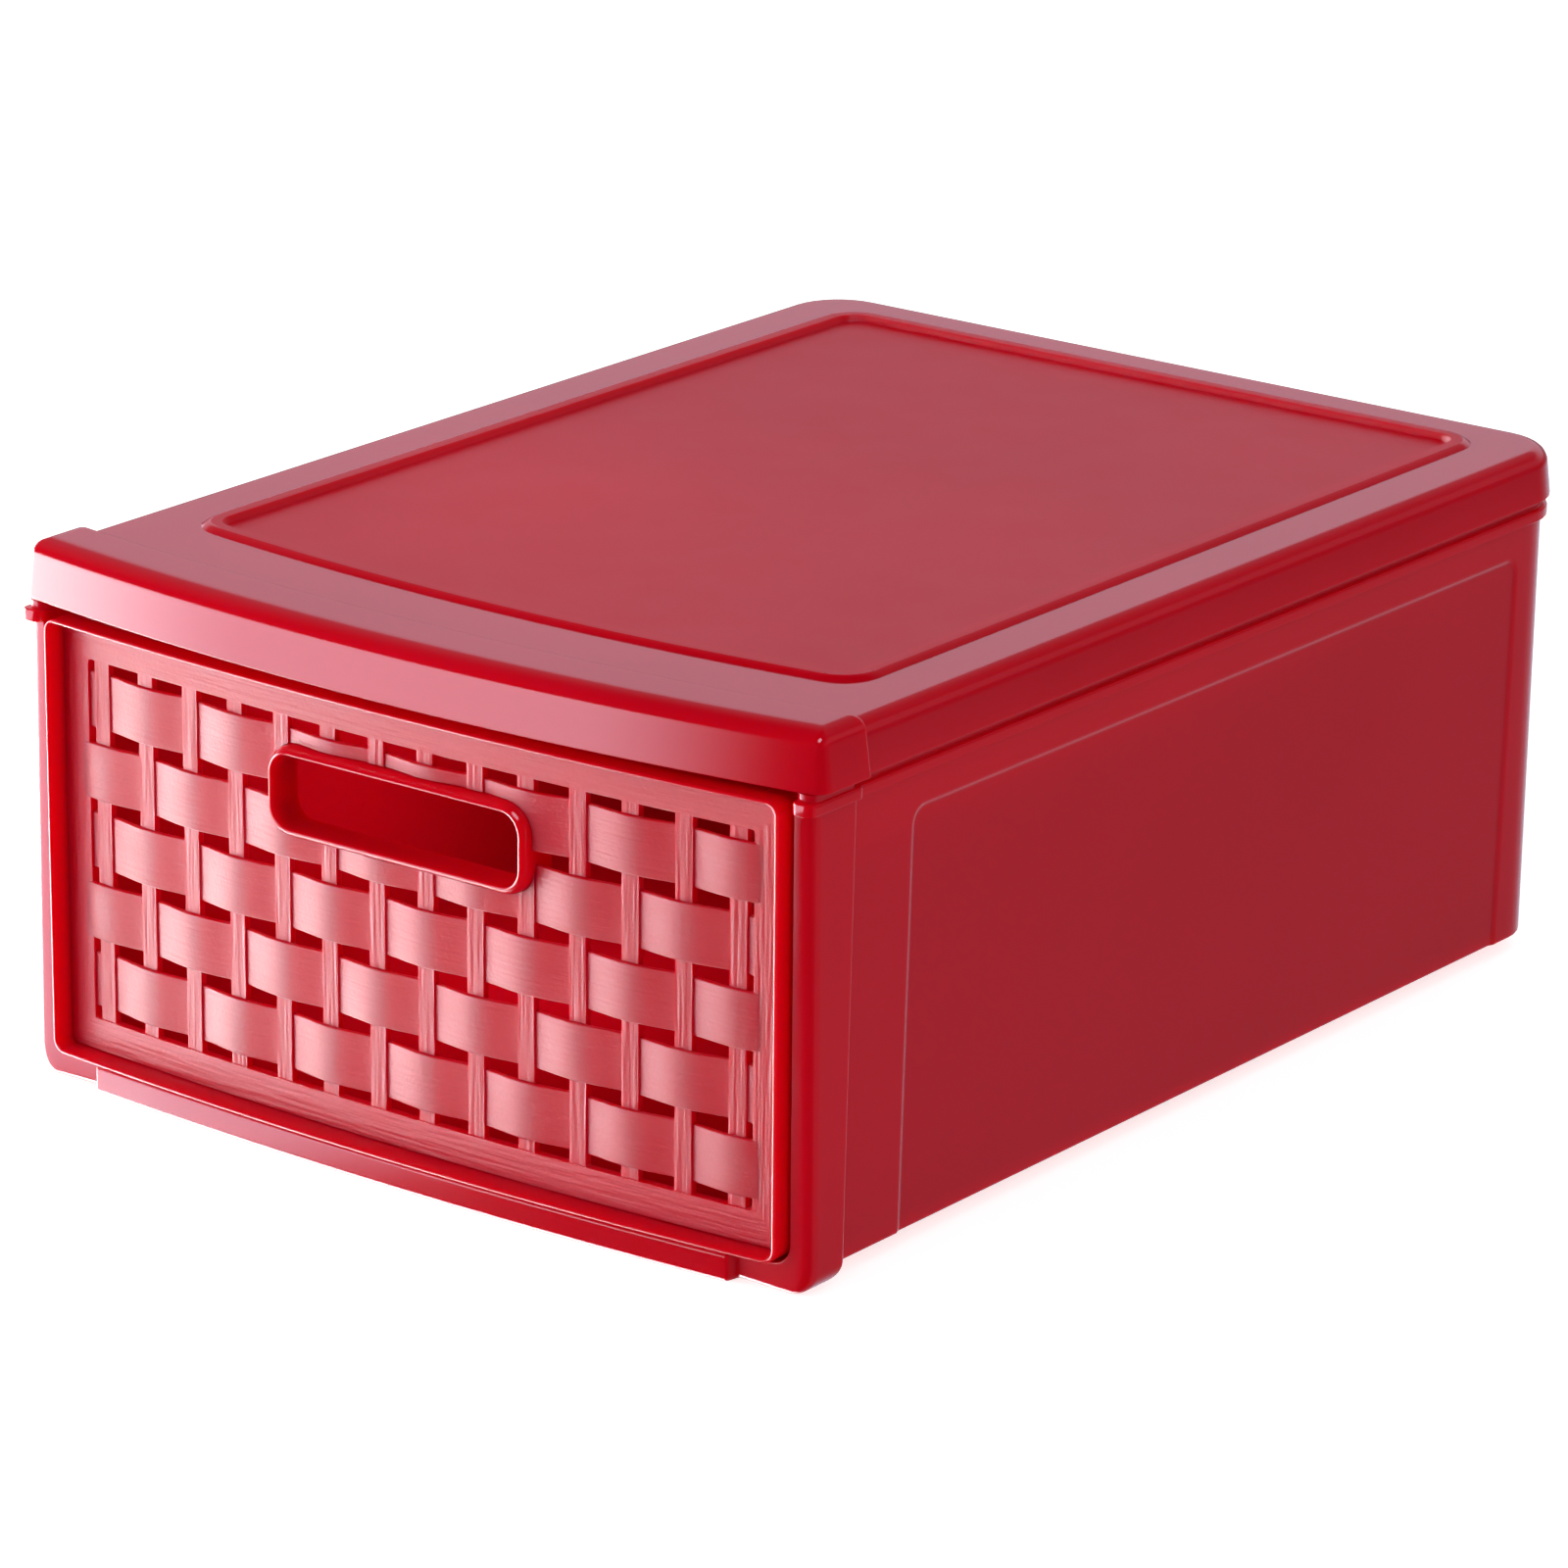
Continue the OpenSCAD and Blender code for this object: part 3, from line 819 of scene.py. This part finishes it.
def close_rim(obj):
    """Closes the open edge between the plate's front and back."""
    bm = bmesh.new()
    bm.from_mesh(obj.data)
    bmesh.ops.dissolve_degenerate(bm, edges=bm.edges, dist=0.002 * MM)
    open_edges = [e for e in bm.edges if e.is_boundary]
    bmesh.ops.bridge_loops(bm, edges=open_edges)
    bmesh.ops.recalc_face_normals(bm, faces=bm.faces)
    bm.to_mesh(obj.data)
    bm.free()


def build_woven_panel(upright_grain, level_grain, band_grain):
    plate = solid("woven_plate", *plate_shells())
    close_rim(plate)
    cut(plate, solid("recess", weave_recess()))
    cut(plate, grip_tool())
    place(plate, [upright_grain, level_grain], "drawer", ["woven_front_panel"])
    for face in plate.data.polygons:
        if face.center.z > weave_top * MM or face.center.z < weave_z * MM:
            face.material_index = 1
    for row in range(band_count):
        band = solid(f"woven_band_{row + 1}", woven_band(row))
        top = weave_z + weave_edge_gap + row * row_pitch + weave_h
        if top > grip_low[2] and top - weave_h < grip_high[2]:
            cut(band, grip_tool())
        place(band, [band_grain], "drawer")


def build_grip(gloss):
    outline = box_outline(grip_low[0], grip_high[0], grip_low[2], grip_high[2], grip_corner_r, steps=10)
    front = grip_low[1]
    back = grip_high[1]
    edge = [
        (0, 3.4), (0.12, 2.4), (0.5, 1.35), (1.0, 0.6), (1.45, 0.15), (1.85, 0), (2.25, 0.12),
        (2.5, 0.5), (2.6, 1.2)]
    profile = [(0, back)] + [(inset, front + depth) for inset, depth in edge] + [(2.4, back)]
    loops = [upright(outline, inset, lambda x, y=y: y) for inset, y in profile]
    grip = solid("grip_ring", loft(loops, ring=True))
    place(grip, [gloss], "drawer", ["grip_collar"])


# Materials


def new_material(name):
    """A material with its nodes cleared down to a shader and an output."""
    material = bpy.data.materials.new(name)
    material.use_nodes = True
    tree = material.node_tree
    tree.nodes.clear()
    output = tree.nodes.new("ShaderNodeOutputMaterial")
    shader = tree.nodes.new("ShaderNodeBsdfPrincipled")
    tree.links.new(shader.outputs["BSDF"], output.inputs["Surface"])
    return material, tree, shader


def noise(tree, scale, stretch=(1, 1, 1), detail=2.0):
    """Noise in the piece's own coordinates, in metres."""
    place_in = tree.nodes.new("ShaderNodeTexCoord")
    mapping = tree.nodes.new("ShaderNodeMapping")
    mapping.inputs["Scale"].default_value = stretch
    texture = tree.nodes.new("ShaderNodeTexNoise")
    texture.inputs["Scale"].default_value = scale
    texture.inputs["Detail"].default_value = detail
    tree.links.new(place_in.outputs["Object"], mapping.inputs["Vector"])
    tree.links.new(mapping.outputs["Vector"], texture.inputs["Vector"])
    return texture.outputs["Fac"]


def ramp(tree, value, low, high):
    """A noise value spread between two numbers."""
    node = tree.nodes.new("ShaderNodeMapRange")
    node.inputs["From Min"].default_value = 0.3
    node.inputs["From Max"].default_value = 0.7
    node.inputs["To Min"].default_value = low
    node.inputs["To Max"].default_value = high
    tree.links.new(value, node.inputs["Value"])
    return node.outputs["Result"]


def tint(tree, value, dark, light):
    """A colour between two, by a noise value."""
    node = tree.nodes.new("ShaderNodeMix")
    node.data_type = "RGBA"
    node.inputs["A"].default_value = (*dark, 1)
    node.inputs["B"].default_value = (*light, 1)
    tree.links.new(ramp(tree, value, 0, 1), node.inputs["Factor"])
    return node.outputs["Result"]


def bump(tree, value, height, below=None):
    """A bump of the given height in millimetres."""
    node = tree.nodes.new("ShaderNodeBump")
    node.inputs["Strength"].default_value = 1
    node.inputs["Distance"].default_value = height * MM
    tree.links.new(value, node.inputs["Height"])
    if below is not None:
        tree.links.new(below, node.inputs["Normal"])
    return node.outputs["Normal"]


def plastic_body(shader):
    """Red light passes some millimetres into the plastic and through its thin walls."""
    shader.inputs["IOR"].default_value = 1.49
    shader.inputs["Subsurface Weight"].default_value = 1
    shader.inputs["Subsurface Radius"].default_value = (1, 0.02, 0.03)
    shader.inputs["Subsurface Scale"].default_value = 6 * MM


def moulded_plastic(name, dark, light, rough_low, rough_high, ripple, ripple_scale=420):
    """Glossy moulded plastic with faint flow marks and a fine ripple."""
    material, tree, shader = new_material(name)
    tree.links.new(tint(tree, noise(tree, 9), dark, light), shader.inputs["Base Color"])
    tree.links.new(ramp(tree, noise(tree, 60), rough_low, rough_high), shader.inputs["Roughness"])
    tree.links.new(bump(tree, noise(tree, ripple_scale), ripple), shader.inputs["Normal"])
    plastic_body(shader)
    return material


def grained_plastic(name, dark, light, stretch, line_scale, line_height):
    """Satin plastic with a stippled skin and fine grain lines."""
    material, tree, shader = new_material(name)
    tree.links.new(tint(tree, noise(tree, 14), dark, light), shader.inputs["Base Color"])
    tree.links.new(ramp(tree, noise(tree, 90), 0.42, 0.48), shader.inputs["Roughness"])
    stipple = bump(tree, noise(tree, 1000, detail=1), 0.09)
    lines = bump(tree, noise(tree, line_scale, stretch, detail=1), line_height, stipple)
    tree.links.new(lines, shader.inputs["Normal"])
    plastic_body(shader)
    return material


red_dark = (0.66, 0.002, 0.014)
red_light = (0.72, 0.003, 0.018)
gloss_casing = moulded_plastic("casing_red", red_dark, red_light, 0.10, 0.14, 0.003)
gloss_lid = moulded_plastic("lid_red", red_dark, red_light, 0.06, 0.09, 0.002)
satin_lid = moulded_plastic("lid_satin_red", red_dark, red_light, 0.42, 0.44, 0.010, 1500)
gloss_drawer = moulded_plastic("drawer_red", red_dark, red_light, 0.09, 0.13, 0.003)
gloss_grip = moulded_plastic("grip_red", red_dark, red_light, 0.10, 0.14, 0.003)
along_level = (0.05, 0.3, 1)
along_upright = (1, 0.3, 0.05)
grain_band = grained_plastic("weave_red_bands", red_dark, red_light, along_level, 1000, 0.15)
grain_level = grained_plastic("weave_red_level", red_dark, red_light, along_level, 850, 0.26)
grain_upright = grained_plastic("weave_red_upright", red_dark, red_light, along_upright, 850, 0.30)

build_lid(gloss_lid, satin_lid)
build_casing(gloss_casing)
build_drawer(gloss_drawer)
build_woven_panel(grain_upright, grain_level, grain_band)
build_grip(gloss_grip)


# Stage, lights and camera

middle = Vector((0, 0, 0.07))
plain_level = 0.52
window_gloss = 5
key_gloss = 11
spot_gloss = 6
inner_glow = 0.13
wall_gloss = 0.735
gloss_tint = (0.93, 1.0, 1.2)
floor_half = 3.0
floor_tone = 0.9
floor_glow = 0.72


def floor():
    """Pale floor that keeps the box's shadow and isn't mirrored in the plastic."""
    signs = ((-1, -1), (1, -1), (1, 1), (-1, 1))
    corners = [(x * floor_half, y * floor_half, 0) for x, y in signs]
    mesh = bpy.data.meshes.new("floor")
    mesh.from_pydata(corners, [], [(0, 1, 2, 3)])
    obj = bpy.data.objects.new("floor", mesh)
    bpy.context.scene.collection.objects.link(obj)
    material = bpy.data.materials.new("floor_white")
    material.use_nodes = True
    tree = material.node_tree
    tree.nodes.clear()
    output = tree.nodes.new("ShaderNodeOutputMaterial")
    both = tree.nodes.new("ShaderNodeAddShader")
    diffuse = tree.nodes.new("ShaderNodeBsdfDiffuse")
    glow = tree.nodes.new("ShaderNodeEmission")
    rays = tree.nodes.new("ShaderNodeLightPath")
    share = tree.nodes.new("ShaderNodeMath")
    share.operation = "MULTIPLY"
    share.inputs[1].default_value = floor_glow
    diffuse.inputs["Color"].default_value = (floor_tone, floor_tone, floor_tone, 1)
    tree.links.new(rays.outputs["Is Camera Ray"], share.inputs[0])
    tree.links.new(share.outputs["Value"], glow.inputs["Strength"])
    tree.links.new(diffuse.outputs["BSDF"], both.inputs[0])
    tree.links.new(glow.outputs["Emission"], both.inputs[1])
    tree.links.new(both.outputs["Shader"], output.inputs["Surface"])
    mesh.materials.append(material)
    obj.visible_glossy = False


def studio_world():
    """White background. Gloss sees a bright left, a lit back wall, a dim right and a dark ceiling."""
    world = bpy.data.worlds.new("studio")
    bpy.context.scene.world = world
    world.use_nodes = True
    world.cycles.sampling_method = "NONE"
    tree = world.node_tree
    tree.nodes.clear()
    output = tree.nodes.new("ShaderNodeOutputWorld")
    back = tree.nodes.new("ShaderNodeBackground")
    rays = tree.nodes.new("ShaderNodeLightPath")
    coords = tree.nodes.new("ShaderNodeTexCoord")
    split = tree.nodes.new("ShaderNodeSeparateXYZ")
    tree.links.new(coords.outputs["Generated"], split.inputs["Vector"])

    def math_node(operation, a, b):
        node = tree.nodes.new("ShaderNodeMath")
        node.operation = operation
        for socket, value in zip(node.inputs, (a, b)):
            if isinstance(value, (int, float)):
                socket.default_value = value
            else:
                tree.links.new(value, socket)
        return node.outputs["Value"]

    def fade(value, start, end, low, high, kind="SMOOTHSTEP"):
        node = tree.nodes.new("ShaderNodeMapRange")
        node.interpolation_type = kind
        for name, number in (("From Min", start), ("From Max", end), ("To Min", low), ("To Max", high)):
            node.inputs[name].default_value = number
        tree.links.new(value, node.inputs["Value"])
        return node.outputs["Result"]

    def product(first, *others):
        for value in others:
            first = math_node("MULTIPLY", first, value)
        return first

    def towards_share(azimuth, elevation):
        node = tree.nodes.new("ShaderNodeVectorMath")
        node.operation = "DOT_PRODUCT"
        node.inputs[1].default_value = Vector(towards(azimuth, elevation, 1)) - middle
        tree.links.new(coords.outputs["Generated"], node.inputs[0])
        return node.outputs["Value"]

    # Azimuth as in towards(), in radians
    turned = math_node("ARCTAN2", split.outputs["X"], math_node("MULTIPLY", split.outputs["Y"], -1))
    over_slant = math_node("SUBTRACT", split.outputs["Z"], math_node("MULTIPLY", turned, 0.562))
    # Bright left: a window with a slanted lower edge, and the strong key beyond it
    window = product(
        fade(turned, math.radians(-29), math.radians(-18), 1, 0),
        fade(over_slant, 0.016, 0.096, 0, 1),
        window_gloss)
    around = product(
        fade(turned, math.radians(-125), math.radians(-100), 0, 1),
        fade(split.outputs["Z"], 0.05, 0.30, 1, 0))
    strong = product(fade(turned, math.radians(-66), math.radians(-46), 1, 0), around)
    key = math_node("ADD", product(window, around), product(strong, key_gloss))
    spot = product(fade(towards_share(44, 58), 0.955, 0.975, 0, 1), spot_gloss)

    # Lit back wall: dim along the horizon, dark towards the ceiling, the front and the right
    dark_horizon = math_node(
        "MAXIMUM",
        fade(split.outputs["Z"], 0.03, 0.2, 0.25, 1),
        fade(split.outputs["Z"], -0.25, -0.1, 1, 0.25))
    wall = product(
        dark_horizon,
        fade(split.outputs["Z"], 0.38, 0.50, wall_gloss, 0.3 * wall_gloss),
        fade(split.outputs["Z"], 0.50, 0.90, 1, 0),
        fade(split.outputs["Y"], -0.3, 0.2, 0.05, 1),
        fade(split.outputs["X"], -0.2, 0.5, 1, 0.3))
    # Gloss sees the studio, the camera white, and all else the plain level
    mirrored = math_node("ADD", math_node("ADD", key, spot), wall)
    in_gloss = math_node("SUBTRACT", mirrored, plain_level)
    in_gloss = math_node("MULTIPLY", in_gloss, rays.outputs["Is Glossy Ray"])
    level_all = math_node("ADD", in_gloss, plain_level)
    seen = math_node("MAXIMUM", rays.outputs["Is Camera Ray"], rays.outputs["Is Transmission Ray"])
    tree.links.new(math_node("MAXIMUM", level_all, seen), back.inputs["Strength"])
    colour = tree.nodes.new("ShaderNodeMix")
    colour.data_type = "RGBA"
    colour.inputs["A"].default_value = (1, 1, 1, 1)
    colour.inputs["B"].default_value = (*gloss_tint, 1)
    tinted = math_node("MULTIPLY", rays.outputs["Is Glossy Ray"], math_node("SUBTRACT", 1, strong))
    tree.links.new(tinted, colour.inputs["Factor"])
    tree.links.new(colour.outputs["Result"], back.inputs["Color"])
    tree.links.new(back.outputs["Background"], output.inputs["Surface"])


def softbox(name, spot, aim, width, height, power):
    """A soft rectangular lamp that faces a point, in metres."""
    data = bpy.data.lights.new(name, "AREA")
    data.shape = "RECTANGLE"
    data.size = width
    data.size_y = height
    data.energy = power
    obj = bpy.data.objects.new(name, data)
    bpy.context.scene.collection.objects.link(obj)
    obj.location = spot
    obj.rotation_euler = (Vector(aim) - Vector(spot)).to_track_quat("-Z", "Y").to_euler()
    return obj


def towards(azimuth, elevation, distance):
    """Place at a distance from the box's middle. Azimuth 0 is ahead of the drawer, + its right."""
    a = math.radians(azimuth)
    e = math.radians(elevation)
    return (
        distance * math.sin(a) * math.cos(e),
        -distance * math.cos(a) * math.cos(e),
        middle.z + distance * math.sin(e))


def lights():
    """Soft lamps left and right, and a faint glow for light that passes the thin walls."""
    key = softbox("key_left", towards(-50, 7, 1.7), middle, 1.0, 1.0, 17)
    fill = softbox("fill_right", towards(92, 10, 1.7), middle, 1.0, 1.0, 2.2)
    data = bpy.data.lights.new("inner_glow", "POINT")
    data.energy = inner_glow
    data.shadow_soft_size = 0.04
    inner = bpy.data.objects.new("inner_glow", data)
    bpy.context.scene.collection.objects.link(inner)
    inner.location = (-0.05, -0.06, 0.075)
    for lamp in (key, fill, inner):
        lamp.visible_glossy = False
        lamp.visible_camera = False


def camera():
    """Camera at the photograph's place, found from the woven front's spacing."""
    azimuth = math.radians(37.593)
    elevation = math.radians(18.431)
    roll = math.radians(0.4756)
    back = Vector((
        math.sin(azimuth) * math.cos(elevation),
        -math.cos(azimuth) * math.cos(elevation),
        math.sin(elevation)))
    right = Vector((math.cos(azimuth), math.sin(azimuth), 0))
    up = back.cross(right)
    x_axis = math.cos(roll) * right + math.sin(roll) * up
    y_axis = math.cos(roll) * up - math.sin(roll) * right
    data = bpy.data.cameras.new("camera")
    data.sensor_width = 36
    data.lens = 172.19
    obj = bpy.data.objects.new("camera", data)
    bpy.context.scene.collection.objects.link(obj)
    turn = Matrix((x_axis, y_axis, back)).transposed().to_4x4()
    place_at = (1.24955, -1.63432, 0.75402)
    obj.matrix_world = Matrix.Translation(place_at) @ turn
    bpy.context.scene.camera = obj


floor()
studio_world()
lights()
camera()
bpy.context.scene.view_settings.view_transform = "Standard"
